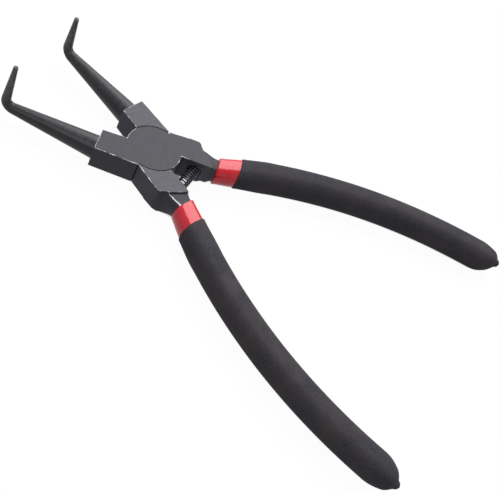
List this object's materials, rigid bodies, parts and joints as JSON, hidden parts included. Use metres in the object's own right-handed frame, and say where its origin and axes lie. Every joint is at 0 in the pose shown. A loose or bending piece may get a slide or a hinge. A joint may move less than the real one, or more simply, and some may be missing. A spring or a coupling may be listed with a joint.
{
  "type": "circlip pliers",
  "caption": "Circlip pliers for inside rings: lap-jointed steel levers with long tapered jaws, tips bent up at a right angle, a return spring and dipped grips.",
  "frame": {"origin": "on the pivot's axis, at the flat underside of the head", "axes": "+X along the tool to the jaws, +Z the way the bent tips point, +Y to the upper lever's jaw"},
  "size_m": [0.1689, 0.1142, 0.022],
  "materials": {
    "forged_steel": "black oxide, ground flat on the head's faces",
    "rivet_steel": "black oxide, ground flush with the head",
    "spring_steel": "blackened spring wire",
    "red_dip": "glossy dipped plastic",
    "black_dip": "matte, finely grained dipped plastic"
  },
  "bodies": {
    "upper_lever_body": {"upper_lever": "forged_steel", "upper_lever_inner_dip": "red_dip", "upper_lever_grip": "black_dip", "pivot_rivet": "rivet_steel", "return_spring": "spring_steel"},
    "lower_lever_body": {"lower_lever": "forged_steel", "lower_lever_inner_dip": "red_dip", "lower_lever_grip": "black_dip"}
  },
  "joints": [
    {"name": "pivot", "type": "hinge", "parent": "upper_lever_body", "child": "lower_lever_body", "pos_m": [0, 0, 0], "axis": [0, 0, 1], "range_deg": [0, 37], "stiffness_Nm_per_rad": 0.43, "springref_deg": -18.91, "deforming": ["return_spring"]}
  ]
}
